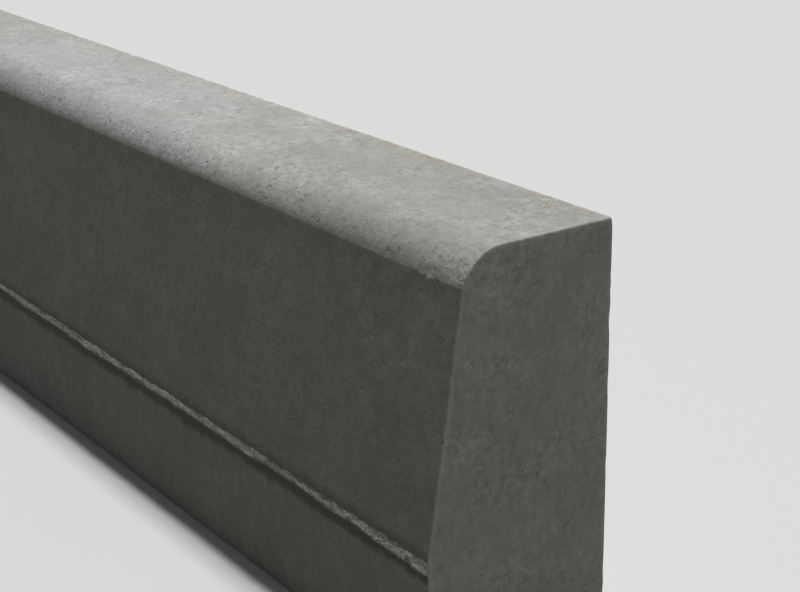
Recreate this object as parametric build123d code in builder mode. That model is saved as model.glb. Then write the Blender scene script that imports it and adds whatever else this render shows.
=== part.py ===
from build123d import *

import os

# Concrete road kerb stone, cast in one piece.
#
# The stone stands on its bed face. +X runs along the stone, +Y points to the side that backs
# the footway, +Z is up. The origin is the middle of the bed face. All sizes are in millimetres.

# Overall sizes of the stone
LENGTH = 1000.0
HEIGHT = 300.0
BED_WIDTH = 150.0

# Front side: a plumb foot that stands in the ground, and above it a face that leans back
FOOT_HEIGHT = 100.0
TOP_WIDTH = 118.0

# Arrises, as the mould leaves them
FRONT_ARRIS_RADIUS = 32.0
KNEE_RADIUS = 12.0
BACK_ARRIS_RADIUS = 3.0
BED_ARRIS_RADIUS = 2.0
END_ARRIS_RADIUS = 1.5

# Places across the stone that follow from those sizes
BACK_Y = BED_WIDTH / 2
FRONT_Y = BACK_Y - BED_WIDTH
TOP_FRONT_Y = BACK_Y - TOP_WIDTH

os.makedirs("parts", exist_ok=True)

with BuildPart() as kerb_stone:
    # Cross-section, seen from the right-hand end: back to the right, front to the left
    with BuildSketch(Plane.YZ) as section:
        with BuildLine():
            Polyline(
                (FRONT_Y, 0),
                (BACK_Y, 0),
                (BACK_Y, HEIGHT),
                (TOP_FRONT_Y, HEIGHT),
                (FRONT_Y, FOOT_HEIGHT),
                close=True,
            )
        make_face()

        # In the sketch's own plane X runs to the back of the stone and Y runs up
        corners = section.vertices()
        bed_front, bed_back = corners.group_by(Axis.Y)[0].sort_by(Axis.X)
        top_front, top_back = corners.group_by(Axis.Y)[-1].sort_by(Axis.X)
        knee = corners.sort_by(Axis.Y)[2]
        fillet(top_front, radius=FRONT_ARRIS_RADIUS)
        fillet(knee, radius=KNEE_RADIUS)
        fillet(top_back, radius=BACK_ARRIS_RADIUS)
        fillet([bed_front, bed_back], radius=BED_ARRIS_RADIUS)

    extrude(amount=LENGTH / 2, both=True)

    # The arris right round each end face
    end_faces = kerb_stone.faces().filter_by(Axis.X).sort_by(Axis.X)
    fillet(end_faces[0].edges() + end_faces[-1].edges(), radius=END_ARRIS_RADIUS)

kerb_stone.part.label = "kerb_stone"
export_step(kerb_stone.part, "parts/kerb_stone.step")

print("length", LENGTH, "height", HEIGHT, "width at the bed", BED_WIDTH)
print("volume in litres", round(kerb_stone.part.volume / 1e6, 3))
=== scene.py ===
"""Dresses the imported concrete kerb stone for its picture.

The stone is one cast block. Its visible skin is one closed mesh, worked out with numpy from
the stone's section and packed size, with the slight waviness, worn arrises and rough band at
the knee that a cast face has. Its finish is a procedural concrete.

Shapes are in metres. The finish works in millimetres.
"""

import logging
import math
from dataclasses import dataclass, field
from enum import Enum, IntEnum
from itertools import product

import bpy
import numpy as np
from mathutils import Matrix, Vector


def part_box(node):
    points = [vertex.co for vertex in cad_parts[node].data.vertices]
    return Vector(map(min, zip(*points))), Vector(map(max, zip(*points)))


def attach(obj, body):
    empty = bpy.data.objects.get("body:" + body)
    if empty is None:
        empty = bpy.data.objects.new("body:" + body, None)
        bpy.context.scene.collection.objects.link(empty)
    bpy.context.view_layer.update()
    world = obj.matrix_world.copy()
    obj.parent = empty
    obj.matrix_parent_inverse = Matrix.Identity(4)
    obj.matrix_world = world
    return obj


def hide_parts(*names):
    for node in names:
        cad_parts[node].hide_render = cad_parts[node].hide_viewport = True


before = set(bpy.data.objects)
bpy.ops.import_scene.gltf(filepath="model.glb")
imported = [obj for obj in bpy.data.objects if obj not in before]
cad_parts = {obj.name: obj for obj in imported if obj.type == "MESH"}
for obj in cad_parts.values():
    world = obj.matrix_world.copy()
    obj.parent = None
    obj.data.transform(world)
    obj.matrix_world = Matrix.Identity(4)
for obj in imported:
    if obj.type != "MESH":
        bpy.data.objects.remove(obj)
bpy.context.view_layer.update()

LOG = logging.getLogger("kerb_stone")
MM = 0.001

Array = np.ndarray
Socket = bpy.types.NodeSocket
Pair = tuple[float, float]
Triple = tuple[float, float, float]
Tint = tuple[float, float, float, float]


# Random fields

LATTICE_PRIMES = np.array([73856093, 19349663, 83492791], dtype=np.uint64)
LATTICE_SHIFT = 100000
SEED_PRIME = 2654435761
STIRS = ((15, 2246822519), (13, 3266489917), (16, 668265263))
LOW_BITS = 0xFFFFFFFF


class Seed(IntEnum):
    """Random fields of the cast surface, each by the number of its widest part.

    The finer parts of a field take the numbers that follow it, so the gaps are needed.
    """

    WAVE = 11
    SWELL = 21
    CHIPS = 31
    NIBBLES = 41
    CRUST = 51
    BAND_FOOT = 61
    BAND_HEAD = 71
    SCUFF = 121


def hashed(cells: Array, seed: int) -> Array:
    """Gives each lattice cell a fixed random number.

    The three whole coordinates are each multiplied by a large prime and mixed with the seed,
    and the bits are stirred until neighbours have nothing in common.

    Args:
        cells: Whole-number lattice coordinates, shape (n, 3).
        seed: Chooses one field among many.

    Returns:
        One number from -1 to 1 for each row.
    """
    mixed = (cells.astype(np.int64) + LATTICE_SHIFT).astype(np.uint64) * LATTICE_PRIMES
    bits = mixed[:, 0] ^ mixed[:, 1] ^ mixed[:, 2] ^ np.uint64(seed * SEED_PRIME)
    for shift, factor in STIRS:
        bits = ((bits ^ (bits >> np.uint64(shift))) * np.uint64(factor)) & np.uint64(LOW_BITS)
    return bits.astype(np.float64) / LOW_BITS * 2.0 - 1.0


def smooth_noise(points: Array, cell: float, seed: int) -> Array:
    """Blends the random numbers at the corners of a cubic lattice.

    Inside a cell the eight corner values are mixed by the quintic ease of the point's
    fractional coordinates, so the field and its slope are continuous.

    Args:
        points: Places in metres, shape (n, 3).
        cell: Lattice spacing in metres.
        seed: Chooses one field among many.

    Returns:
        One value from -1 to 1 for each point.
    """
    scaled = points / cell
    base = np.floor(scaled)
    t = scaled - base
    ease = t**3 * (t * (t * 6.0 - 15.0) + 10.0)
    total = np.zeros(len(points))
    for corner in product((0, 1), repeat=3):
        weight = np.where(np.array(corner) == 1, ease, 1.0 - ease).prod(axis=1)
        total += weight * hashed(base + corner, seed)
    return total


def fractal(points: Array, cell: float, octaves: int, seed: int) -> Array:
    """Adds up noise fields, each half as wide and half as strong as the one before.

    Args:
        points: Places in metres, shape (n, 3).
        cell: Spacing of the widest field in metres.
        octaves: How many fields are added.
        seed: Chooses the first field; the next ones follow it.

    Returns:
        One value of about -1 to 1 for each point.
    """
    fields = [smooth_noise(points, cell / 2**k, seed + k) / 2**k for k in range(octaves)]
    return np.sum(fields, axis=0) / (2.0 - 2.0 ** (1 - octaves))


def ease_between(value: Array, low: float, high: float) -> Array:
    """Rises smoothly from 0 at low to 1 at high."""
    t = np.clip((value - low) / (high - low), 0.0, 1.0)
    return t * t * (3.0 - 2.0 * t)


# Relief

@dataclass(frozen=True)
class Unevenness:
    """A random unevenness of the cast surface.

    Args:
        height: How far it goes up and down, in metres or as a share.
        cell: Width of its widest features, in metres.
        octaves: How many noise fields it adds up.
        seed: The first of those fields.
        squeeze: Factor on places along the stone, which draws the features out below 1.
    """

    height: float
    cell: float
    octaves: int
    seed: Seed
    squeeze: float = 1.0

    def at(self, places: Array) -> Array:
        """Gives its height at each place."""
        squeezed = places * (self.squeeze, 1.0, 1.0)
        return self.height * fractal(squeezed, self.cell, self.octaves, self.seed)


@dataclass(frozen=True)
class Breakage:
    """One kind of damage along the sharp arrises.

    Args:
        depth: Depth that is lost where it is worst, in metres.
        cell: Width of its noise, in metres.
        seed: The random field of that noise.
        starts: Value of the noise at which it starts.
        worst: Value of the noise from which on it is worst.
        near: Distance from the arris within which it is worst, in metres.
        far: Distance from the arris at which it ends, in metres.
        octaves: How many fields its noise adds up.
    """

    depth: float
    cell: float
    seed: Seed
    starts: float
    worst: float
    near: float
    far: float
    octaves: int = 2

    def at(self, places: Array, edge: Array) -> Array:
        """Works out the share of the depth that is lost.

        It rises with a noise, and falls with the distance from the arris.

        Args:
            places: Points on the true surface, shape (n, 3).
            edge: Distance to the nearest sharp arris, shape (n,).

        Returns:
            A share from 0 to 1 for each point.
        """
        noise = fractal(places, self.cell, self.octaves, self.seed)
        share = ease_between(noise, self.starts, self.worst)
        return share * (1.0 - ease_between(edge, self.near, self.far))


@dataclass(frozen=True)
class RoughBand:
    """The rough band of cement that clings to the front under the knee.

    Args:
        crust: Grain of its surface.
        lean: How far it stands proud for each metre that it drops.
        sink: Distance from the knee down to the band, in metres.
        wide: Its height at the right end of the stone, in metres.
        narrow: Its height along the rest of the stone, in metres.
        widens: Places along the stone between which it widens, in metres.
        head: Wander of its upper edge.
        head_fade: Depths below the upper edge over which it begins, in metres.
        foot: Wander of its lower edge, as a share of its height.
        foot_fade: Depths below the lower edge over which it ends, in metres.
    """

    crust: Unevenness = Unevenness(0.75 * MM, 5.0 * MM, 2, Seed.CRUST, 0.75)
    lean: float = 0.36
    sink: float = 1.6 * MM
    wide: float = 8.5 * MM
    narrow: float = 6.2 * MM
    widens: Pair = (0.40, 0.49)
    head: Unevenness = Unevenness(0.6 * MM, 9 * MM, 2, Seed.BAND_HEAD)
    head_fade: Pair = (-0.6 * MM, 0.7 * MM)
    foot: Unevenness = Unevenness(0.28, 30 * MM, 3, Seed.BAND_FOOT)
    foot_fade: Pair = (-0.5 * MM, 0.8 * MM)

    def at(self, places: Array, front: Array, knee: float) -> tuple[Array, Array]:
        """Works out where the band is and how far it stands out.

        Its upper edge follows the knee. Its lower edge wanders with a noise, and drops from
        the narrow to the wide height over the last stretch before the right end. The band
        leans out: it stands proud in proportion to the depth below its upper edge, with a
        coarse grain on top.

        Args:
            places: Points on the true surface, shape (n, 3).
            front: 1 on the front of the stone and 0 elsewhere, shape (n,).
            knee: Height of the knee, in metres.

        Returns:
            A value from 0 outside to 1 inside the band, and the height of its surface in
            metres, for each point.
        """
        share = ease_between(places[:, 0], *self.widens)
        drop = self.narrow + (self.wide - self.narrow) * share
        drop = drop * (1.0 + self.foot.at(places))
        below = knee - self.sink - places[:, 2] + self.head.at(places)
        inside = front * ease_between(below, *self.head_fade)
        inside = inside * (1.0 - ease_between(below - drop, *self.foot_fade))
        proud = self.lean * np.clip(below, 0.0, drop)
        return inside, inside * (proud + self.crust.at(places))


@dataclass(frozen=True)
class Scuff:
    """The rough patch on the front arris by the right end, where the stone was knocked.

    Args:
        grain: Its roughness.
        place: Its middle along and up the stone, in metres.
        reach: How far it spreads along and up the stone, in metres.
    """

    grain: Unevenness = Unevenness(0.45 * MM, 2.8 * MM, 2, Seed.SCUFF, 0.65)
    place: Pair = (0.466, 0.279)
    reach: Pair = (0.025, 0.0068)

    def at(self, places: Array, arris: Array) -> Array:
        """Works out the depth of the patch.

        The depth follows a fine noise, and fades with the square of the distance from the
        middle of the patch, in shares of its reach.

        Args:
            places: Points on the true surface, shape (n, 3).
            arris: How much each point faces the front, from 0 to 1, shape (n,).

        Returns:
            The depth in metres.
        """
        away = (places[:, [0, 2]] - self.place) / self.reach
        return arris * np.exp(-(away**2).sum(axis=1)) * self.grain.at(places)


@dataclass(frozen=True)
class Relief:
    """How far a cast surface strays from the true one.

    Args:
        wave: Wide waviness of every face.
        swell: Narrow waviness of every face.
        chips: Broken places along the sharp arrises.
        nibbles: Fine wear along the sharp arrises.
        nibble_shows: How much of the fine wear shows in the colour.
        edge_highlight: How strongly the sharp arrises are lightened in the colour, partly wear
            and partly a painted highlight.
        edge_highlight_fade: Distances from the arris over which that ends, in metres.
        band: The rough band under the knee.
        scuff: The rough patch on the front arris.
        front_turn: Parts of the normal towards the front between which the front begins.
        arris_turn: The same for the front arris.
        bed_turn: Parts of the normal downwards between which the relief ends at the bed.
    """

    wave: Unevenness = Unevenness(0.24 * MM, 95 * MM, 2, Seed.WAVE)
    swell: Unevenness = Unevenness(0.11 * MM, 17 * MM, 3, Seed.SWELL)
    chips: Breakage = Breakage(1.5 * MM, 11 * MM, Seed.CHIPS, 0.36, 0.75, 0.8 * MM, 5.0 * MM)
    nibbles: Breakage = Breakage(0.40 * MM, 3.6 * MM, Seed.NIBBLES, 0.0, 0.55, 0.2 * MM, 2.4 * MM)
    nibble_shows: float = 0.6
    edge_highlight: float = 0.85
    edge_highlight_fade: Pair = (0.6 * MM, 2.6 * MM)
    band: RoughBand = RoughBand()
    scuff: Scuff = Scuff()
    front_turn: Pair = (0.85, 0.98)
    arris_turn: Pair = (0.3, 0.7)
    bed_turn: Pair = (0.6, 0.95)

    def at(self, places: Array, outward: Array, edge: Array,
           knee: float) -> tuple[Array, Array, Array]:
        """Adds up everything that strays from the true surface. The bed stays true.

        Args:
            places: Points on the true surface, shape (n, 3).
            outward: Unit outward normals there, shape (n, 3).
            edge: Distance to the nearest sharp arris, shape (n,).
            knee: Height of the knee, in metres.

        Returns:
            The height above the true surface in metres, how worn and painted-highlit the arris is
            from 0 to 1, and a value from 0 outside to 1 inside the rough band, for each point.
        """
        chip, nibble = self.chips.at(places, edge), self.nibbles.at(places, edge)
        lost = self.chips.depth * chip + self.nibbles.depth * nibble
        # A thin painted highlight along the sharp arrises, stored with the wear.
        edge_highlight = self.edge_highlight * (1.0 - ease_between(edge, *self.edge_highlight_fade))
        wear_and_highlight = np.clip(chip + self.nibble_shows * nibble + edge_highlight, 0.0, 1.0)
        forwards = -outward[:, 1]
        inside, crust = self.band.at(places, ease_between(forwards, *self.front_turn), knee)
        scuff = self.scuff.at(places, ease_between(forwards, *self.arris_turn))
        height = self.wave.at(places) + self.swell.at(places) + crust - lost - scuff
        return height * (1.0 - ease_between(-outward[:, 2], *self.bed_turn)), wear_and_highlight, inside


# Shape

@dataclass(frozen=True)
class Corner:
    """One corner of the section, in the plane across the stone.

    Args:
        y: Place across the stone, in metres.
        z: Height above the bed, in metres.
        radius: Radius of the arris there, in metres, or 0 where the outline goes straight on.
        steps: How many faces go round the arris.
        before: Spacing of the points on the run that comes to it, in metres.
        after: Spacing of the points on the run that leaves it, in metres.
        sharp: Whether the arris is one that chips.
    """

    y: float
    z: float
    radius: float
    steps: int
    before: float
    after: float
    sharp: bool = False


@dataclass(frozen=True)
class Section:
    """The stone's outline across its length, as points, outward normals and edge distance.

    Args:
        points: Places (y, z) on the outline, anticlockwise seen from the +X end.
        normals: Unit outward normals there.
        sharpness: Distance to the nearest arris that chips, in metres.
    """

    points: Array
    normals: Array
    sharpness: Array


@dataclass(frozen=True)
class Spacing:
    """Distances between the points of the mesh, in metres.

    Args:
        hidden: Along the bed and the back.
        plain: Along the top and the leaning face.
        brink: On the top next to the back arris.
        arris: Next to the front arris and its crease.
        band: Where the rough band lies under the knee.
        band_depth: How far below the knee that spacing goes.
        column: Along most of the stone.
        end_column: Along the last stretch before the right end.
        end_stretch: Length of that stretch.
        bed_steps: Faces round each arris along the bed.
        back_steps: Faces round the arris at the back of the top.
        front_steps: Faces round the front arris.
        crease_steps: Faces round its crease.
        knee_steps: Faces round the knee.
        end_steps: Faces round the arris of an end.
        end_rings: Rings that fill an end face.
    """

    hidden: float = 12 * MM
    plain: float = 4.2 * MM
    brink: float = 2.5 * MM
    arris: float = 0.8 * MM
    band: float = 1.0 * MM
    band_depth: float = 11 * MM
    column: float = 3.0 * MM
    end_column: float = 1.3 * MM
    end_stretch: float = 78 * MM
    bed_steps: int = 3
    back_steps: int = 5
    front_steps: int = 22
    crease_steps: int = 1
    knee_steps: int = 3
    end_steps: int = 3
    end_rings: int = 26


@dataclass
class KerbStone:
    """The cast stone: a flat top, a rounded front arris, a leaning face and a plumb foot.

    Args:
        top_width: Width of the top, out to where its plane meets the leaning face.
        foot_height: Height of the plumb foot below the leaning face.
        front_radius: Radius of the front arris.
        crease_drop: Depth below the top at which the front arris ends in a faint crease.
        crease_turn: Angle that is left to turn there, in degrees.
        crease_radius: Radius of that crease.
        knee_radius: Radius where the leaning face turns plumb.
        back_radius: Radius of the arris at the back of the top.
        bed_radius: Radius of the two arrises along the bed.
        end_radius: Radius of the arris round each end face.
        spacing: Distances between the points of the mesh.
        relief: How far the cast surface strays from the true one.
        low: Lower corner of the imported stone.
        high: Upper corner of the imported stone.
    """

    top_width: float = 118 * MM
    foot_height: float = 100 * MM
    front_radius: float = 32 * MM
    crease_drop: float = 24 * MM
    crease_turn: float = 6.0
    crease_radius: float = 1.2 * MM
    knee_radius: float = 12 * MM
    back_radius: float = 3 * MM
    bed_radius: float = 2 * MM
    end_radius: float = 1.5 * MM
    spacing: Spacing = Spacing()
    relief: Relief = Relief()
    low: Array = field(default_factory=lambda: np.array(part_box("kerb_stone")[0]))
    high: Array = field(default_factory=lambda: np.array(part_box("kerb_stone")[1]))

    def corners(self) -> list[Corner]:
        """Lists the section's corners from the bed's front, anticlockwise seen from +X.

        The front arris turns from the top to a short flat that is still a few degrees short
        of the leaning face. That flat goes up from the crease, which lies on the face, and
        meets the top's plane at the crease's depth times the tangent of its tilt from plumb.

        Returns:
            The corners, with two places on straight runs where only the spacing changes.
        """
        (_, front, bed), (_, back, top), gap = self.low, self.high, self.spacing
        knee = bed + self.foot_height
        slope = (back - self.top_width - front) / (top - knee)
        crease = top - self.crease_drop
        crease_y = front + slope * (top - self.crease_drop - knee)
        flat_tilt = math.atan(slope) + math.radians(self.crease_turn)
        arris_y = crease_y + self.crease_drop * math.tan(flat_tilt)
        middle = (crease + knee) / 2
        middle_y = front + slope * (middle - knee)
        return [
            Corner(front, bed, self.bed_radius, gap.bed_steps, gap.hidden, gap.hidden, True),
            Corner(back, bed, self.bed_radius, gap.bed_steps, gap.hidden, gap.hidden, True),
            Corner(back, top, self.back_radius, gap.back_steps, gap.plain, gap.brink, True),
            Corner(arris_y, top, self.front_radius, gap.front_steps, gap.plain, gap.arris),
            Corner(crease_y, crease, self.crease_radius, gap.crease_steps, gap.arris, gap.arris),
            Corner(middle_y, middle, 0.0, 0, gap.plain, gap.plain),
            Corner(front, knee, self.knee_radius, gap.knee_steps, gap.band, gap.band),
            Corner(front, knee - gap.band_depth, 0.0, 0, gap.band, gap.band),
        ]

    @staticmethod
    def spread(length: float, first: float, last: float) -> Array:
        """Divides a run so that the spacing changes evenly from one end to the other.

        With spacing growing in proportion to the distance, the distance after a share u of
        the points is length (q to the power u, less 1) / (q - 1), where q is last / first.
        The last spacing is taken a hair longer, so that q is never exactly 1.

        Args:
            length: Length of the run.
            first: Spacing at its start.
            last: Spacing at its end.

        Returns:
            The inner points, as shares of the length.
        """
        hair = 1.000001
        ratio = last / first * hair
        count = max(1, round(length * math.log(ratio) / (last * hair - first)))
        share = np.linspace(0.0, 1.0, count + 1)[1:-1]
        return (ratio**share - 1.0) / (ratio - 1.0)

    def section(self) -> Section:
        """Rounds each corner by an arc and walks round the outline.

        An arc of radius r at a corner that turns by angle a starts r tan(a/2) before the
        corner. Its centre lies r inside the two runs, and its points are the centre plus r
        times the normal, whose direction turns evenly from one run's normal to the next.

        Returns:
            The outline as arrays.
        """
        corners = self.corners()
        places = np.array([(c.y, c.z) for c in corners])
        ahead = np.roll(places, -1, axis=0) - places
        ahead /= np.linalg.norm(ahead, axis=1, keepdims=True)
        arcs = []
        for i, corner in enumerate(corners):
            before, after = ahead[i - 1], ahead[i]
            start = math.atan2(-before[0], before[1])
            turn = math.atan2(before[0] * after[1] - before[1] * after[0], before @ after)
            angles = start + turn * np.linspace(0.0, 1.0, corner.steps + 1)
            normal = np.column_stack([np.cos(angles), np.sin(angles)])
            setback = before * corner.radius * math.tan(turn / 2)
            centre = places[i] - setback - normal[0] * corner.radius
            arcs.append((centre + normal * corner.radius, normal))
        points, normals, narrow = [], [], []
        for i, corner in enumerate(corners):
            following = (i + 1) % len(corners)
            arc, normal = arcs[i]
            run = arcs[following][0][0] - arc[-1]
            length = float(np.linalg.norm(run))
            share = self.spread(length, corner.after, corners[following].before)
            points += [arc, arc[-1] + share[:, None] * run]
            normals += [normal, np.repeat(normal[-1:], len(share), axis=0)]
            narrow += [np.full(len(arc), corner.sharp), np.zeros(len(share), bool)]
        outline = np.vstack(points)
        sharp = outline[np.concatenate(narrow)]
        gaps = np.linalg.norm(outline[:, None, :] - sharp[None, :, :], axis=2)
        return Section(outline, np.vstack(normals), gaps.min(axis=1))

    def skin(self) -> tuple[Array, Array, Array, Array]:
        """Lays out the whole surface as one stack of rings from the left pole to the right.

        A ring is the section, drawn in by some inset and placed at some x. Along the body
        the inset is 0. Round an end's arris the inset and x follow a quarter circle. On the
        end face x stays and the ring shrinks evenly to a point in the middle of the face.

        Returns:
            Ring points (rings, girth, 3), unit normals of the same shape, distance to the
            nearest arris (rings, girth), and the two poles (2, 3).
        """
        outline, gap = self.section(), self.spacing
        half = (self.high[0] - self.low[0]) / 2
        flat_half = half - self.end_radius
        stretch = flat_half - gap.end_stretch
        columns = round((flat_half + stretch) / gap.column)
        end_columns = round(gap.end_stretch / gap.end_column)
        body = np.concatenate([np.linspace(-flat_half, stretch, columns + 1),
                               np.linspace(stretch, flat_half, end_columns + 1)[1:]])
        quarter = np.linspace(0.0, math.pi / 2, gap.end_steps + 1)[1:]
        turned = self.end_radius * np.sin(quarter)
        drawn_in = self.end_radius * (1.0 - np.cos(quarter))
        shrink = np.linspace(1.0, 0.0, gap.end_rings + 1)[1:-1]
        still, full = np.full(len(shrink), half), np.full(len(shrink), self.end_radius)
        level, ones = np.zeros(len(body)), np.ones(len(shrink))

        x = np.concatenate([-still, -(flat_half + turned)[::-1], body, flat_half + turned, still])
        inset = np.concatenate([full, drawn_in[::-1], level, drawn_in, full])
        scale = np.concatenate([shrink[::-1], np.ones(len(body) + 2 * len(quarter)), shrink])
        lean = np.concatenate([-ones, -np.sin(quarter)[::-1], level, np.sin(quarter), ones])

        middle = outline.points.mean(axis=0)
        drawn = outline.points[None] - outline.normals[None] * inset[:, None, None]
        across = middle + (drawn - middle) * scale[:, None, None]
        along = np.broadcast_to(x[:, None, None], across.shape[:2] + (1,))
        rings = np.concatenate([along, across], axis=2)
        side = np.sqrt(1.0 - lean**2)[:, None, None]
        outward = np.broadcast_to(lean[:, None, None], across.shape[:2] + (1,))
        normals = np.concatenate([outward, outline.normals[None] * side], axis=2)

        to_end = np.broadcast_to((half - np.abs(x))[:, None], across.shape[:2])
        rim = np.linalg.norm(drawn - across, axis=2)
        edge = np.where(scale[:, None] < 1.0, rim, np.minimum(to_end, outline.sharpness[None]))
        poles = np.array([(-half, *middle), (half, *middle)])
        return rings, normals, edge, poles

    @staticmethod
    def faces(count: int, girth: int) -> list[list[int]]:
        """Joins the rings: quads between neighbouring rings and a fan at each pole.

        Each face goes round anticlockwise seen from outside, so all normals point outwards.

        Args:
            count: How many rings there are.
            girth: How many points a ring has.

        Returns:
            The faces, in numbers of the points. The two poles come after all of the rings.
        """
        ring = np.arange(count - 1)[:, None] * girth
        here = np.arange(girth)[None]
        there = (here + 1) % girth
        beyond = ring + girth
        quads = np.stack([ring + here, ring + there, beyond + there, beyond + here], axis=2)
        left, right, base = count * girth, count * girth + 1, (count - 1) * girth
        first = np.stack([np.full(girth, left), there[0], here[0]], axis=1)
        last = np.stack([np.full(girth, right), base + here[0], base + there[0]], axis=1)
        return quads.reshape(-1, 4).tolist() + first.tolist() + last.tolist()

    def build(self) -> bpy.types.Object:
        """Makes the mesh: the true surface, pushed along its normals by the relief.

        Returns:
            The finished piece, with its wear, its painted arris highlight and its rough band
            stored at its points.
        """
        rings, normals, edge, poles = self.skin()
        true, outward = rings.reshape(-1, 3), normals.reshape(-1, 3)
        knee = self.low[2] + self.foot_height
        height, wear_and_highlight, band = self.relief.at(true, outward, edge.reshape(-1), knee)
        skin = true + outward * height[:, None]
        skin[:, 2] = np.maximum(skin[:, 2], self.low[2])

        mesh = bpy.data.meshes.new("cast_stone")
        mesh.from_pydata(np.vstack([skin, poles]).tolist(), [], self.faces(*edge.shape))
        mesh.polygons.foreach_set("use_smooth", np.ones(len(mesh.polygons), bool))
        for name, values in (("arris_wear_and_highlight", wear_and_highlight), ("rough_band", band)):
            attribute = mesh.attributes.new(name, "FLOAT", "POINT")
            stored = np.append(values, np.zeros(len(poles))).astype(np.float32)
            attribute.data.foreach_set("value", stored)
        mesh.update()
        piece = bpy.data.objects.new("cast_stone", mesh)
        bpy.context.scene.collection.objects.link(piece)
        return piece


# Node trees

NOISE_MEAN = 0.5


class Op(Enum):
    """Sums that a Math node does."""

    ADD = "ADD"
    SUBTRACT = "SUBTRACT"
    MULTIPLY = "MULTIPLY"
    MULTIPLY_ADD = "MULTIPLY_ADD"
    DIVIDE = "DIVIDE"
    POWER = "POWER"
    MAXIMUM = "MAXIMUM"


class Blend(Enum):
    """Ways to mix two colours."""

    MIX = "MIX"
    MULTIPLY = "MULTIPLY"


@dataclass(frozen=True)
class Fade:
    """A smooth change from one value to another, which holds at both ends.

    Args:
        start: Where it starts.
        end: Where it ends.
        before: Its value up to the start.
        after: Its value from the end on.
    """

    start: float
    end: float
    before: float = 0.0
    after: float = 1.0


@dataclass(frozen=True)
class Layer:
    """A noise of a finish.

    Args:
        cell: Width of its widest features, in millimetres.
        detail: How many times finer ones ride on them.
        rough: How strong the finer ones are, from 0 to 1.
    """

    cell: float
    detail: float = 3.0
    rough: float = 0.5


@dataclass(frozen=True)
class Warp:
    """How a noise pushes places about, so that round shapes turn uneven.

    Args:
        cell: Width of its features, in millimetres.
        amount: How far it pushes, in millimetres.
        detail: How many times finer ones ride on them.
    """

    cell: float
    amount: float
    detail: float = 2.0


class Sheet:
    """Builds the node tree of a material or a world with short calls."""

    def __init__(self, owner: bpy.types.Material | bpy.types.World) -> None:
        """Starts with an empty tree.

        Args:
            owner: The material or world that the tree belongs to.
        """
        owner.use_nodes = True
        self.tree = owner.node_tree
        self.tree.nodes.clear()

    def node(self, kind: str, inputs: dict[str | int, object] | None = None,
             **settings: object) -> bpy.types.Node:
        """Adds a node, sets its properties and fills or links its inputs.

        Args:
            kind: The node's type name.
            inputs: Input name or number, to a value or to another node's output.
            **settings: Properties of the node.

        Returns:
            The new node.
        """
        made = self.tree.nodes.new(kind)
        for key, value in settings.items():
            setattr(made, key, value)
        for key, value in (inputs or {}).items():
            if isinstance(value, Socket):
                self.tree.links.new(value, made.inputs[key])
            else:
                made.inputs[key].default_value = value
        return made

    def maths(self, op: Op, *values: object) -> Socket:
        """Adds a Math node and returns its result."""
        return self.node("ShaderNodeMath", dict(enumerate(values)), operation=op.value).outputs[0]

    def vectors(self, op: Op, *values: object) -> Socket:
        """Adds a Vector Math node and returns its result."""
        inputs = dict(enumerate(values))
        return self.node("ShaderNodeVectorMath", inputs, operation=op.value).outputs[0]

    def product(self, *values: object) -> Socket:
        """Multiplies any number of values.

        Args:
            *values: Values and outputs of other nodes.

        Returns:
            Their product.
        """
        total = values[0]
        for value in values[1:]:
            total = self.maths(Op.MULTIPLY, total, value)
        return total

    def fade(self, value: Socket, fade: Fade, origin: float = 0.0) -> Socket:
        """Maps a value by a fade.

        Args:
            value: What is mapped.
            fade: The course of the result.
            origin: Where the fade's places are counted from.

        Returns:
            The result.
        """
        inputs = {
            "Value": value, "From Min": origin + fade.start, "From Max": origin + fade.end,
            "To Min": fade.before, "To Max": fade.after}
        return self.node("ShaderNodeMapRange", inputs, interpolation_type="SMOOTHSTEP").outputs[0]

    def noise(self, places: Socket, layer: Layer) -> Socket:
        """Adds a noise and returns its value.

        Args:
            places: Coordinates in millimetres.
            layer: Its width and roughness.

        Returns:
            A value from 0 to 1.
        """
        inputs = {"Vector": places, "Scale": 1.0 / layer.cell, "Detail": layer.detail,
                  "Roughness": layer.rough}
        return self.node("ShaderNodeTexNoise", inputs).outputs[0]

    def cells(self, places: Socket, cell: float) -> bpy.types.NodeOutputs:
        """Divides space into random cells that are about a cell wide."""
        inputs = {"Vector": places, "Scale": 1.0 / cell}
        return self.node("ShaderNodeTexVoronoi", inputs).outputs

    def warp(self, places: Socket, warp: Warp) -> Socket:
        """Pushes coordinates about by a coloured noise.

        Args:
            places: Coordinates in millimetres.
            warp: The width and reach of the push.

        Returns:
            The new coordinates.
        """
        inputs = {"Vector": places, "Scale": 1.0 / warp.cell, "Detail": warp.detail}
        push = self.node("ShaderNodeTexNoise", inputs).outputs["Color"]
        push = self.vectors(Op.SUBTRACT, push, (NOISE_MEAN,) * 3)
        push = self.vectors(Op.MULTIPLY, push, (warp.amount,) * 3)
        return self.vectors(Op.ADD, places, push)

    def split(self, vector: Socket) -> bpy.types.NodeOutputs:
        """Splits a vector or a colour into its three parts."""
        return self.node("ShaderNodeSeparateXYZ", {0: vector}).outputs

    def stored(self, name: str) -> Socket:
        """Reads a value that is stored at the points of the mesh."""
        return self.node("ShaderNodeAttribute", attribute_name=name).outputs["Fac"]

    def mix(self, share: object, first: object, second: object,
            blend: Blend = Blend.MIX) -> Socket:
        """Mixes two colours.

        Args:
            share: How much of the second one is taken.
            first: The first colour.
            second: The second colour.
            blend: How they are mixed.

        Returns:
            The mixed colour.
        """
        inputs = {0: share, 6: first, 7: second}
        mixed = self.node("ShaderNodeMix", inputs, data_type="RGBA", blend_type=blend.value)
        return mixed.outputs[2]

    def sees_background(self) -> Socket:
        """Tells the rays that show a background from those that light other surfaces.

        Returns:
            1 for camera, glossy and transmission rays, and 0 for all others.
        """
        path = self.node("ShaderNodeLightPath").outputs
        seen = self.maths(Op.MAXIMUM, path["Is Camera Ray"], path["Is Glossy Ray"])
        return self.maths(Op.MAXIMUM, seen, path["Is Transmission Ray"])


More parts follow.
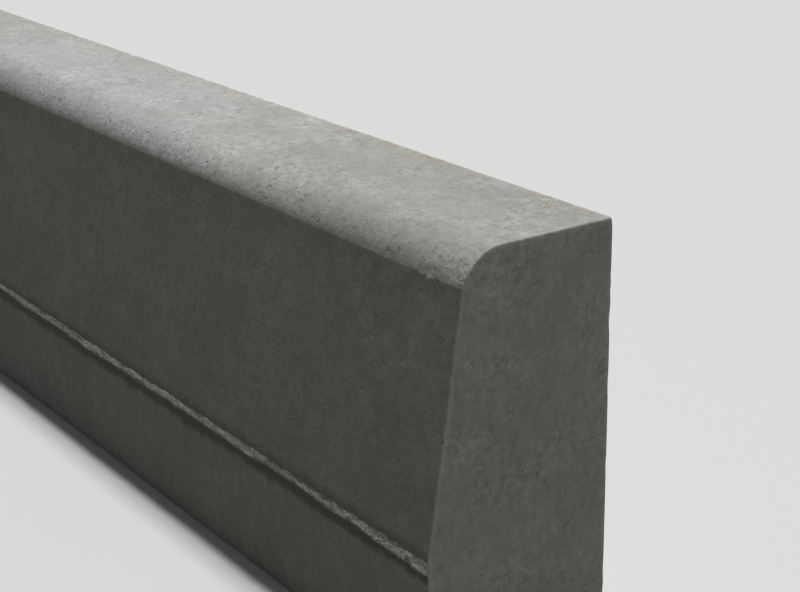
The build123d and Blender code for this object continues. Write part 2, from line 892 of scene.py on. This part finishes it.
class StoneSheet(Sheet):
    """The stone's own sheet, with what its finish reads at each place, in millimetres.

    The noises are shared, so that what is mottled, pitted and rough goes together.
    """

    # Faces that look forwards, where the front takes its painted shade colour.
    FRONT: Fade = Fade(-0.978, -0.90, 1.0, 0.0)
    GRAIN: Layer = Layer(1.2, 1.0, 0.6)
    SPECKLE: Layer = Layer(5.6, 3.0, 0.6)
    BLOTCH: Layer = Layer(15.0, 4.0, 0.6)
    PATCHY: Layer = Layer(34.0, 3.0, 0.55)

    def __init__(self, material: bpy.types.Material, knee: float, corner: Array) -> None:
        """Adds the coordinates, the front and the shared noises.

        Args:
            material: The material to be filled.
            knee: Height of the knee above the bed, in metres.
            corner: Upper corner at the right end and the back of the stone, in metres.
        """
        super().__init__(material)
        place = self.node("ShaderNodeTexCoord").outputs["Object"]
        self.mm = self.vectors(Op.MULTIPLY, place, (1.0 / MM,) * 3)
        self.along, self.depth, self.height = self.split(self.mm)
        self.knee = knee / MM
        self.end, self.back, self.top = (float(value) / MM for value in corner)
        normal = self.node("ShaderNodeNewGeometry").outputs["Normal"]
        self.backwards = self.split(normal)[1]
        self.front = self.fade(self.backwards, self.FRONT)
        self.grain = self.noise(self.mm, self.GRAIN)
        self.speckle = self.noise(self.mm, self.SPECKLE)
        self.blotch = self.noise(self.mm, self.BLOTCH)
        self.patchy = self.noise(self.mm, self.PATCHY)

    def by_face(self, on_front: float, elsewhere: float = 1.0) -> Socket:
        """Gives one value on the front and another elsewhere."""
        return self.fade(self.front, Fade(0.0, 1.0, elsewhere, on_front))


# Finishes

@dataclass(frozen=True)
class Mottling:
    """The unevenness of the skin's brightness at every scale.

    Each swing is a pair: how far its noise strays from its mean, and how much it changes the
    brightness there, as a share.

    Args:
        cloud: The widest noise.
        streak: Noise of the faint streaks down the faces.
        streak_draw: Factor on the coordinates that draws the streaks out upwards.
        sand: Width of the fine sand grains, in millimetres.
        grit: Width of the coarse sand grains, in millimetres.
        cloud_swing: Swing of the widest noise.
        patchy_swing: Swing of the noise a few centimetres wide.
        streak_swing: Swing of the streaks.
        blotch_swing: Swing of the noise about a centimetre wide.
        speckle_swing: Swing of the noise a few millimetres wide.
        grain_swing: Swing of the finest noise.
        sand_swing: Swing of the fine sand grains.
        grit_swing: Swing of the coarse sand grains.
        mottle_on_front: Strength of the middling noises on the front.
        grain_on_front: Strength of the fine ones on the front.
        patches: Strength of both in patches.
    """

    cloud: Layer = Layer(80.0)
    streak: Layer = Layer(5.0)
    streak_draw: Triple = (1.0, 1.0, 0.12)
    sand: float = 1.1
    grit: float = 2.3
    cloud_swing: Pair = (0.20, 0.044)
    patchy_swing: Pair = (0.16, 0.044)
    streak_swing: Pair = (0.16, 0.028)
    blotch_swing: Pair = (0.11, 0.048)
    speckle_swing: Pair = (0.12, 0.072)
    grain_swing: Pair = (0.20, 0.046)
    sand_swing: Pair = (0.5, 0.048)
    grit_swing: Pair = (0.5, 0.036)
    mottle_on_front: float = 0.80
    grain_on_front: float = 0.35
    patches: Fade = Fade(0.38, 0.62, 0.65, 1.35)

    @staticmethod
    def _swung(sheet: StoneSheet, value: Socket, swing: Pair, mean: float) -> Socket:
        """Turns a noise into a change of brightness on both sides of a mean.

        Args:
            sheet: The stone's sheet.
            value: The noise.
            swing: Its swing.
            mean: Brightness where the noise is at its mean.

        Returns:
            The brightness.
        """
        width, change = swing
        low, high = NOISE_MEAN - width, NOISE_MEAN + width
        return sheet.fade(value, Fade(low, high, mean - change, mean + change))

    def factor(self, sheet: StoneSheet) -> Socket:
        """Multiplies the broad changes, and the sum of the finer ones, into one factor.

        Args:
            sheet: The stone's sheet.

        Returns:
            A factor of about 1 for the colour.
        """
        drawn = sheet.vectors(Op.MULTIPLY, sheet.mm, self.streak_draw)
        sand, grit = (sheet.split(sheet.cells(sheet.mm, width)["Color"])[0]
                      for width in (self.sand, self.grit))
        broad = ((sheet.noise(sheet.mm, self.cloud), self.cloud_swing),
                 (sheet.patchy, self.patchy_swing),
                 (sheet.noise(drawn, self.streak), self.streak_swing))
        mottled = ((sheet.blotch, self.blotch_swing), (sheet.speckle, self.speckle_swing))
        grained = ((sheet.grain, self.grain_swing), (sand, self.sand_swing),
                   (grit, self.grit_swing))
        fine = []
        for group, on_front in ((mottled, self.mottle_on_front), (grained, self.grain_on_front)):
            total, *others = (self._swung(sheet, value, swing, 0.0) for value, swing in group)
            for other in others:
                total = sheet.maths(Op.ADD, other, total)
            fine.append(sheet.product(total, sheet.by_face(on_front)))
        strength = sheet.fade(sheet.patchy, self.patches)
        finer = sheet.maths(Op.MULTIPLY_ADD, sheet.maths(Op.ADD, *fine), strength, 1.0)
        return sheet.product(*(self._swung(sheet, *pair, 1.0) for pair in broad), finer)


@dataclass(frozen=True)
class ArrisSheen:
    """A painted sheen on a long pale stretch of the front arris.

    Args:
        pale: How much paler the painted sheen makes the skin there, as a share.
        darker_beside: How much darker the arris is beside that stretch, as a share.
        begins: Where the stretch begins, from the right end, in millimetres.
        ends: Where it ends, from the right end, in millimetres.
        arris: Parts of the normal towards the back over which the arris ends at the top.
    """

    pale: float = 0.21
    darker_beside: float = 0.01
    begins: Fade = Fade(-600.0, -320.0)
    ends: Fade = Fade(-260.0, -110.0, 1.0, 0.0)
    arris: Fade = Fade(-0.50, -0.02, 1.0, 0.0)

    def factor(self, sheet: StoneSheet) -> Socket:
        """Works out the change of the brightness that paints the sheen.

        Args:
            sheet: The stone's sheet.

        Returns:
            A factor of about 1 for the colour.
        """
        sheen = sheet.product(sheet.fade(sheet.along, self.begins, sheet.end),
                               sheet.fade(sheet.along, self.ends, sheet.end),
                               self.pale + self.darker_beside)
        sheen = sheet.product(sheet.maths(Op.SUBTRACT, sheen, self.darker_beside),
                               sheet.fade(sheet.backwards, self.arris), sheet.by_face(0.0))
        return sheet.maths(Op.ADD, sheen, 1.0)


@dataclass(frozen=True)
class Weathering:
    """The broad colours of the skin, with a darker, greener copy of it on the front as painted
    shade.

    Args:
        light: Colour of the clean cement skin.
        olive: The same skin where it is faintly stained.
        painted_shade_front: Darker, greener copy of the skin on the front, which is painted
            shade.
        front_near_end: The same painted shade towards the right end, where it is lighter.
        soil_and_shade: Dark colour of soil, also used for painted shade and a painted shadow on
            the front.
        sand: Colour of the sand that was brushed over the back of the top.
        olive_towards_end: Share of the olive, darker skin, by the distance from the right end.
        stains: Noise of the stains elsewhere.
        stain_share: Share of the stained skin, by that noise.
        front_near_end_share: Share of the lighter front colour, by the distance from the right
            end.
        under_arris: Share of the dark colour on the front, which darkens it just below the crease
            of the front arris, by the height above the knee.
        front_share: How much of the front takes its painted shade colour.
        sand_back: Share of sand, by the distance from the back.
        sand_top: The same, by the distance from the top.
        drifts: Noise of the brushed sand.
        drift_share: Strength of the sand, by that noise.
    """

    light: Tint = (0.475, 0.475, 0.466, 1.0)
    olive: Tint = (0.385, 0.386, 0.358, 1.0)
    painted_shade_front: Tint = (0.391, 0.398, 0.360, 1.0)
    front_near_end: Tint = (0.463, 0.476, 0.412, 1.0)
    soil_and_shade: Tint = (0.150, 0.144, 0.122, 1.0)
    sand: Tint = (0.460, 0.410, 0.310, 1.0)
    olive_towards_end: Fade = Fade(-430.0, -170.0, 0.0, 0.95)
    stains: Layer = Layer(110.0)
    stain_share: Fade = Fade(0.45, 0.75, 0.0, 0.5)
    front_near_end_share: Fade = Fade(-750.0, 0.0)
    under_arris: Fade = Fade(145.0, 174.0, 0.0, 0.16)
    front_share: float = 0.95
    sand_back: Fade = Fade(-34.0, 0.0, 0.0, 0.34)
    sand_top: Fade = Fade(-4.0, -1.0)
    drifts: Layer = Layer(62.0)
    drift_share: Fade = Fade(0.38, 0.62, 0.35, 1.35)

    def colour(self, sheet: StoneSheet) -> Socket:
        """Mixes the colours of the top and the ends, the painted shade of the front and the
        brushed sand.

        Args:
            sheet: The stone's sheet.

        Returns:
            The colour of the skin before its finer marks.
        """
        # Olive, darker skin towards the right end and in faint random patches.
        olive_share = sheet.maths(Op.ADD, sheet.fade(sheet.along, self.olive_towards_end, sheet.end),
                            sheet.fade(sheet.noise(sheet.mm, self.stains), self.stain_share))
        skin = sheet.mix(olive_share, self.light, self.olive)
        # Painted shade: the front gets a darker, greener copy of the skin, lighter towards the
        # right end and darker just below the crease of the front arris.
        front_near_end = sheet.fade(sheet.along, self.front_near_end_share, sheet.end)
        painted_shade_front = sheet.mix(front_near_end, self.painted_shade_front, self.front_near_end)
        under_arris = sheet.fade(sheet.height, self.under_arris, sheet.knee)
        painted_shade_front = sheet.mix(under_arris, painted_shade_front, self.soil_and_shade)
        skin = sheet.mix(sheet.product(sheet.front, self.front_share), skin, painted_shade_front)
        sanded = sheet.product(sheet.fade(sheet.depth, self.sand_back, sheet.back),
                               sheet.fade(sheet.height, self.sand_top, sheet.top),
                               sheet.fade(sheet.noise(sheet.mm, self.drifts), self.drift_share))
        return sheet.mix(sanded, skin, self.sand)


@dataclass(frozen=True)
class Spots:
    """A scatter of small hollows or grains, one chance in each cell.

    Args:
        cell: Their spacing, in millimetres.
        smallest: Radius of the smallest, in millimetres.
        largest: Radius of the largest, in millimetres.
        rarity: How much rarer large ones are than small ones.
        softness: Where the fall-off starts, as a share of the radius.
        rim: Where it ends, as a share of the radius.
    """

    cell: float
    smallest: float
    largest: float
    rarity: float
    softness: float
    rim: float = 1.05

    def spread(self, sheet: Sheet, places: Socket) -> Socket:
        """Works out how deep in a spot each place is.

        Each cell draws a random number, whose power by the rarity picks the radius. The
        distance to the cell's point, divided by that radius, falls from 1 to 0.

        Args:
            sheet: The material being built.
            places: Coordinates in millimetres.

        Returns:
            A value from 0 outside to 1 in the middle of a spot.
        """
        cells = sheet.cells(places, self.cell)
        chance = sheet.maths(Op.POWER, sheet.split(cells["Color"])[0], self.rarity)
        reach = (self.largest - self.smallest) / self.cell
        radius = sheet.maths(Op.MULTIPLY_ADD, chance, reach, self.smallest / self.cell)
        inside = sheet.maths(Op.DIVIDE, cells["Distance"], radius)
        return sheet.fade(inside, Fade(self.softness, self.rim, 1.0, 0.0))


@dataclass(frozen=True)
class Holes:
    """The small holes in the skin, for the relief and for the colour, where their shade is
    painted.

    Args:
        pinholes: Small holes left by air, which come in groups.
        airholes: Larger holes left by air, which stand alone.
        unround: How the holes are pushed out of round.
        on_front: How strong the holes are on the front.
        hollows: Larger shallow hollows.
        hollow_unround: How the hollows are pushed out of round.
        hollow_share: Strength of the hollows, by the noise a few millimetres wide.
        speck: Noise whose peaks are dark specks.
        speck_share: Strength of the specks, by that noise.
        specks_on_front: How strong the specks are on the front.
        groups: Strength of pinholes and specks, by the noise a few centimetres wide.
    """

    pinholes: Spots = Spots(4.8, 0.22, 1.6, 2.9, 0.45)
    airholes: Spots = Spots(32.0, 0.0, 2.9, 2.2, 0.5)
    unround: Warp = Warp(2.5, 1.4)
    on_front: float = 0.6
    hollows: Spots = Spots(10.0, 0.3, 4.0, 2.2, 0.25)
    hollow_unround: Warp = Warp(7.0, 6.0)
    hollow_share: Fade = Fade(0.35, 0.6, 0.4, 1.0)
    speck: Layer = Layer(3.4, 3.0, 0.65)
    speck_share: Fade = Fade(0.53, 0.66)
    specks_on_front: float = 0.45
    groups: Fade = Fade(0.40, 0.60, 0.15, 1.0)

    def depths(self, sheet: StoneSheet) -> tuple[Socket, Socket, Socket]:
        """Works out how deep in a hole each place is.

        Args:
            sheet: The stone's sheet.

        Returns:
            Values from 0 outside to 1 at the bottom of a speck, a hole and a hollow.
        """
        uneven = sheet.warp(sheet.mm, self.unround)
        groups = sheet.fade(sheet.patchy, self.groups)
        pinhole = sheet.product(self.pinholes.spread(sheet, uneven), groups)
        hole = sheet.maths(Op.MAXIMUM, pinhole, self.airholes.spread(sheet, uneven))
        hollow = self.hollows.spread(sheet, sheet.warp(sheet.mm, self.hollow_unround))
        speck = sheet.fade(sheet.noise(sheet.mm, self.speck), self.speck_share)
        return (sheet.product(speck, groups, sheet.by_face(self.specks_on_front)),
                sheet.product(hole, sheet.by_face(self.on_front)),
                sheet.product(hollow, sheet.fade(sheet.speckle, self.hollow_share)))


@dataclass(frozen=True)
class FootMarks:
    """The dark marks near the knee, by the height above the knee: soil, with painted shade
    towards the knee and a painted shadow below the rough band.

    Each mark fades with a height that wanders. Some are also cut off at a true height.

    Args:
        wander: Noise of that height.
        wander_reach: How far it wanders, in millimetres.
        low_face: Darkening of the leaning face towards the knee, partly dirt and partly painted
            shade near the ground.
        low_face_cut: Where that begins.
        knee_line: Dark line just above the knee.
        knee_line_cut: Where that begins.
        shadow_and_soil_foot: Where the dark strip below the rough band begins, a painted shadow
            with some soil.
        shadow_and_soil_head: Where that strip ends.
    """

    wander: Layer = Layer(12.0)
    wander_reach: float = 9.0
    low_face: Fade = Fade(0.0, 120.0, 0.13, 0.0)
    low_face_cut: Fade = Fade(-2.0, 0.0)
    knee_line: Fade = Fade(0.5, 8.0, 0.50, 0.0)
    knee_line_cut: Fade = Fade(-4.0, -2.0)
    shadow_and_soil_foot: Fade = Fade(-21.0, -14.0)
    shadow_and_soil_head: Fade = Fade(-8.0, -1.0, 0.90, 0.0)

    def over(self, sheet: StoneSheet, skin: Socket, soil_and_shade: Tint) -> Socket:
        """Darkens the front towards the knee, partly as painted shade, and paints a dark strip of
        shadow and soil on the foot just below the band.

        Args:
            sheet: The stone's sheet.
            skin: The colour so far.
            soil_and_shade: Colour of the marks, used for soil and for painted shade alike.

        Returns:
            The colour with the marks.
        """
        off = sheet.maths(Op.SUBTRACT, sheet.noise(sheet.mm, self.wander), NOISE_MEAN)
        level = sheet.maths(Op.ADD, sheet.height, sheet.product(off, self.wander_reach))
        # The low face and the strip below the band are painted shade and shadow, mixed with soil.
        for mark, place, cut in ((self.low_face, sheet.height, self.low_face_cut),
                                 (self.knee_line, sheet.height, self.knee_line_cut),
                                 (self.shadow_and_soil_head, level, self.shadow_and_soil_foot)):
            share = sheet.product(sheet.front, sheet.fade(level, mark, sheet.knee),
                                  sheet.fade(place, cut, sheet.knee))
            skin = sheet.mix(share, skin, soil_and_shade)
        return skin


@dataclass(frozen=True)
class FineRelief:
    """Heights of the marks of the skin, in millimetres.

    Args:
        grain: Height of the finest noise.
        speckle: Height of the noise a few millimetres wide.
        blotch: Height of the noise about a centimetre wide.
        speck: Height of a speck.
        hole: Height of a hole.
        hollow: Height of a hollow.
        lump: Height of the lumps in the rough band.
        on_front: Strength of all of it on the front.
    """

    grain: float = 0.09
    speckle: float = 0.50
    blotch: float = 0.85
    speck: float = -0.16
    hole: float = -0.58
    hollow: float = -0.34
    lump: float = 1.9
    on_front: float = 0.55


@dataclass(frozen=True)
class ConcreteFinish:
    """Matt grey cast concrete with sandy grain, small pits and faint marks of weather, with
    painted shade and painted highlights.

    Args:
        mottling: Unevenness of the brightness.
        arris_sheen: The painted sheen on a long stretch of the front arris.
        weathering: Broad colours of the skin.
        holes: Small holes in the skin.
        foot_marks: Dark marks near the knee, partly painted shade and shadow.
        relief: Heights of the marks.
        speck_and_hole_shade: Colour of the dark specks, and painted shade at the bottom of holes
            and hollows.
        pale_grain: Colour of the light sand grains and of lime.
        wear_and_highlight: Colour of a broken arris, also painted along the sharp arrises as a
            highlight.
        crust: Colour of the rough band under the knee.
        grains: Light sand grains in the skin.
        grain_unround: How they are pushed out of round.
        grain_shows: Strength of the light sand grains.
        blooms: Pale patches where lime has come out.
        bloom_unround: How they are pushed out of round.
        bloom_shows: Strength of the lime, by the noise a few millimetres wide.
        speck_shows: Strength of the specks.
        hollow_shows: Strength of the painted shade in the hollows on the front and elsewhere.
        hole_shows: Strength of the painted shade in the holes.
        wear_and_highlight_shows: Strength of the wear and painted highlight, by the noise a few
            millimetres wide.
        lumps: Noise of the lumps in the rough band.
        crust_shows: Strength of the band's colour, by that noise.
        roughness: Roughness of the skin.
        gloss: Level of its weak gloss.
    """

    mottling: Mottling = Mottling()
    arris_sheen: ArrisSheen = ArrisSheen()
    weathering: Weathering = Weathering()
    holes: Holes = Holes()
    foot_marks: FootMarks = FootMarks()
    relief: FineRelief = FineRelief()
    speck_and_hole_shade: Tint = (0.150, 0.150, 0.138, 1.0)
    pale_grain: Tint = (0.560, 0.555, 0.530, 1.0)
    wear_and_highlight: Tint = (0.520, 0.515, 0.490, 1.0)
    crust: Tint = (0.560, 0.545, 0.495, 1.0)
    grains: Spots = Spots(3.2, 0.1, 0.8, 2.5, 0.2)
    grain_unround: Warp = Warp(2.0, 1.0)
    grain_shows: float = 0.30
    blooms: Spots = Spots(15.0, 0.0, 3.6, 2.5, 0.0)
    bloom_unround: Warp = Warp(5.0, 4.0)
    bloom_shows: Fade = Fade(0.4, 0.6, 0.10, 0.50)
    speck_shows: float = 0.26
    hollow_shows: Pair = (0.20, 0.34)
    hole_shows: float = 0.50
    wear_and_highlight_shows: Fade = Fade(0.3, 0.6, 0.2, 0.7)
    lumps: Layer = Layer(3.2, 3.0, 0.65)
    crust_shows: Fade = Fade(0.36, 0.60, 0.15, 1.0)
    roughness: float = 0.88
    gloss: float = 0.30

    def material(self, knee: float, corner: Array) -> bpy.types.Material:
        """Builds the material in millimetres of the stone's own coordinates.

        Args:
            knee: Height of the knee above the bed, in metres.
            corner: Upper corner at the right end and the back of the stone, in metres.

        Returns:
            The finished material.
        """
        material = bpy.data.materials.new("cast_concrete")
        sheet = StoneSheet(material, knee, corner)
        speck, hole, hollow = self.holes.depths(sheet)
        band = sheet.stored("rough_band")
        lumps = sheet.noise(sheet.mm, self.lumps)

        # The tone carries the painted sheen on the front arris.
        tone = sheet.product(self.mottling.factor(sheet), self.arris_sheen.factor(sheet))
        grey = sheet.node("ShaderNodeCombineXYZ", {0: tone, 1: tone, 2: tone}).outputs[0]
        skin = sheet.mix(1.0, self.weathering.colour(sheet), grey, Blend.MULTIPLY)
        skin = self._speckled(sheet, skin)
        # Dark specks, and painted shade in the holes and hollows.
        for depth, shows in ((speck, self.speck_shows),
                             (hollow, sheet.by_face(*self.hollow_shows)),
                             (hole, self.hole_shows)):
            skin = sheet.mix(sheet.product(depth, shows), skin, self.speck_and_hole_shade)
        # Wear along the sharp arrises, with a painted highlight.
        wear_and_highlight = sheet.product(sheet.stored("arris_wear_and_highlight"),
                             sheet.fade(sheet.speckle, self.wear_and_highlight_shows))
        skin = sheet.mix(wear_and_highlight, skin, self.wear_and_highlight)
        skin = self.foot_marks.over(sheet, skin, self.weathering.soil_and_shade)
        crusted = sheet.product(band, sheet.fade(lumps, self.crust_shows))
        skin = sheet.mix(crusted, skin, self.crust)

        grain = sheet.maths(Op.SUBTRACT, sheet.grain, NOISE_MEAN)
        relief = sheet.product(grain, self.relief.grain)
        for value, height in ((sheet.speckle, self.relief.speckle),
                              (sheet.blotch, self.relief.blotch), (speck, self.relief.speck),
                              (hole, self.relief.hole), (hollow, self.relief.hollow),
                              (sheet.product(band, lumps), self.relief.lump)):
            relief = sheet.maths(Op.MULTIPLY_ADD, value, height, relief)
        bump = sheet.node("ShaderNodeBump", {
            "Height": relief, "Strength": sheet.by_face(self.relief.on_front), "Distance": MM})
        shader = sheet.node("ShaderNodeBsdfPrincipled", {
            "Base Color": skin, "Roughness": self.roughness, "Normal": bump.outputs[0],
            "Specular IOR Level": self.gloss})
        sheet.node("ShaderNodeOutputMaterial", {"Surface": shader.outputs[0]})
        return material

    def _speckled(self, sheet: StoneSheet, skin: Socket) -> Socket:
        """Adds the light sand grains and the lime.

        Args:
            sheet: The stone's sheet.
            skin: The colour so far.

        Returns:
            The colour with them.
        """
        grain = self.grains.spread(sheet, sheet.warp(sheet.mm, self.grain_unround))
        skin = sheet.mix(sheet.product(grain, self.grain_shows), skin, self.pale_grain)
        bloom = self.blooms.spread(sheet, sheet.warp(sheet.mm, self.bloom_unround))
        shows = sheet.fade(sheet.speckle, self.bloom_shows)
        return sheet.mix(sheet.product(bloom, shows), skin, self.pale_grain)


@dataclass(frozen=True)
class FloorFinish:
    """A pale studio floor that looks pale but throws little light back on to the stone.

    Args:
        shown: Colour that the camera and mirrors see.
        bounced: Colour that lights other surfaces.
    """

    shown: Tint = (0.74, 0.74, 0.73, 1.0)
    bounced: Tint = (0.12, 0.12, 0.12, 1.0)

    def material(self) -> bpy.types.Material:
        """Builds the floor's material.

        Returns:
            The finished material.
        """
        material = bpy.data.materials.new("studio_floor")
        sheet = Sheet(material)
        colour = sheet.mix(sheet.sees_background(), self.bounced, self.shown)
        shader = sheet.node("ShaderNodeBsdfDiffuse", {"Color": colour})
        sheet.node("ShaderNodeOutputMaterial", {"Surface": shader.outputs[0]})
        return material


# Studio

@dataclass(frozen=True)
class Lamp:
    """One distant lamp of the studio, which points at the middle of the stone's bed.

    Args:
        name: What the lamp does.
        strength: Its power.
        place: Where its light comes from, in metres.
        softness: Angle over which its light spreads, in degrees.
    """

    name: str
    strength: float
    place: Triple
    softness: float

    def build(self) -> None:
        """Adds the lamp to the scene."""
        data = bpy.data.lights.new(self.name, "SUN")
        data.energy = self.strength
        data.angle = math.radians(self.softness)
        lamp = bpy.data.objects.new(self.name, data)
        turn = (-Vector(self.place)).to_track_quat("-Z", "Y").to_matrix().to_4x4()
        lamp.matrix_world = Matrix.Translation(self.place) @ turn
        bpy.context.scene.collection.objects.link(lamp)


@dataclass(frozen=True)
class View:
    """The camera at the photograph's viewing angle.

    Args:
        place: Where the camera stands, in metres.
        heading: Turn of its view from +Y towards +X, in degrees.
        dip: How far it looks down, in degrees.
        roll: Turn about its view, in degrees.
        focal_px: Focal length in pixels of the 800 wide picture.
        picture_width: Width of the picture in pixels.
        sensor: Width of the sensor in millimetres.
        sight: Distance up to which it sees, in metres.
    """

    place: Triple = (1.2789, -0.6346, 0.6192)
    heading: float = -55.19
    dip: float = 19.54
    roll: float = 1.04
    focal_px: float = 1700.0
    picture_width: float = 800.0
    sensor: float = 36.0
    sight: float = 200.0

    def build(self) -> bpy.types.Object:
        """Makes the camera and hands it to the scene.

        The view vector comes from heading and dip. The right vector is level, then both it
        and the down vector are turned about the view by the roll.

        Returns:
            The camera.
        """
        heading, dip, roll = (math.radians(a) for a in (self.heading, self.dip, self.roll))
        ahead = Vector((math.sin(heading) * math.cos(dip), math.cos(heading) * math.cos(dip),
                        -math.sin(dip)))
        level = Vector((math.cos(heading), -math.sin(heading), 0.0))
        down = ahead.cross(level)
        right = math.cos(roll) * level + math.sin(roll) * down
        below = math.cos(roll) * down - math.sin(roll) * level
        turn = Matrix((right, -below, -ahead)).transposed().to_4x4()
        data = bpy.data.cameras.new("photo_view")
        data.sensor_width = self.sensor
        data.lens = self.focal_px * self.sensor / self.picture_width
        data.clip_end = self.sight
        camera = bpy.data.objects.new("photo_view", data)
        camera.matrix_world = Matrix.Translation(self.place) @ turn
        bpy.context.scene.collection.objects.link(camera)
        bpy.context.scene.camera = camera
        return camera


@dataclass(frozen=True)
class Studio:
    """A plain pale floor under soft light.

    Args:
        floor_half: Half the side of the floor, in metres.
        fill: Strength of the even light from all round.
        backdrop: Brightness of the background that the camera sees.
        lamps: The lamps.
    """

    floor_half: float = 40.0
    fill: float = 0.095
    backdrop: float = 0.72
    lamps: tuple[Lamp, ...] = (
        Lamp("key", 2.68, (-0.16, 0.156, 1.0), 10.0),
        Lamp("end_light", 0.36, (1.0, 0.15, 0.40), 30.0),
        Lamp("back_light", 0.32, (-0.30, 1.0, 0.12), 40.0),
    )

    def build(self) -> None:
        """Makes the floor, the lamps and the light from all round."""
        half = self.floor_half
        corners = [(-half, -half, 0.0), (half, -half, 0.0), (half, half, 0.0), (-half, half, 0.0)]
        mesh = bpy.data.meshes.new("floor")
        mesh.from_pydata(corners, [], [(0, 1, 2, 3)])
        mesh.materials.append(FloorFinish().material())
        floor = bpy.data.objects.new("floor", mesh)
        bpy.context.scene.collection.objects.link(floor)
        for lamp in self.lamps:
            lamp.build()
            LOG.info("lamp %s: strength %.2f", lamp.name, lamp.strength)
        self._light_all_round()

    def _light_all_round(self) -> None:
        """Lights the stone evenly and shows the camera a pale background."""
        world = bpy.data.worlds.new("studio")
        bpy.context.scene.world = world
        sheet = Sheet(world)
        brightness = Fade(0.0, 1.0, self.fill, self.backdrop)
        level = sheet.fade(sheet.sees_background(), brightness)
        light = sheet.node("ShaderNodeBackground", {"Strength": level})
        sheet.node("ShaderNodeOutputWorld", {"Surface": light.outputs[0]})


def main() -> None:
    """Builds the stone, the studio and the camera, and reports each."""
    logging.basicConfig(level=logging.INFO, format="%(name)s: %(message)s")
    bpy.context.scene.view_settings.view_transform = "Standard"
    stone = KerbStone()
    piece = stone.build()
    piece.data.materials.append(ConcreteFinish().material(stone.foot_height, stone.high))
    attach(piece, "root")
    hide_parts("kerb_stone")
    mesh = piece.data
    LOG.info("%s: %d points, %d faces", piece.name, len(mesh.vertices), len(mesh.polygons))
    Studio().build()
    camera = View().build()
    LOG.info("%s: lens of %.1f mm", camera.name, camera.data.lens)


if __name__ == "__main__":
    main()
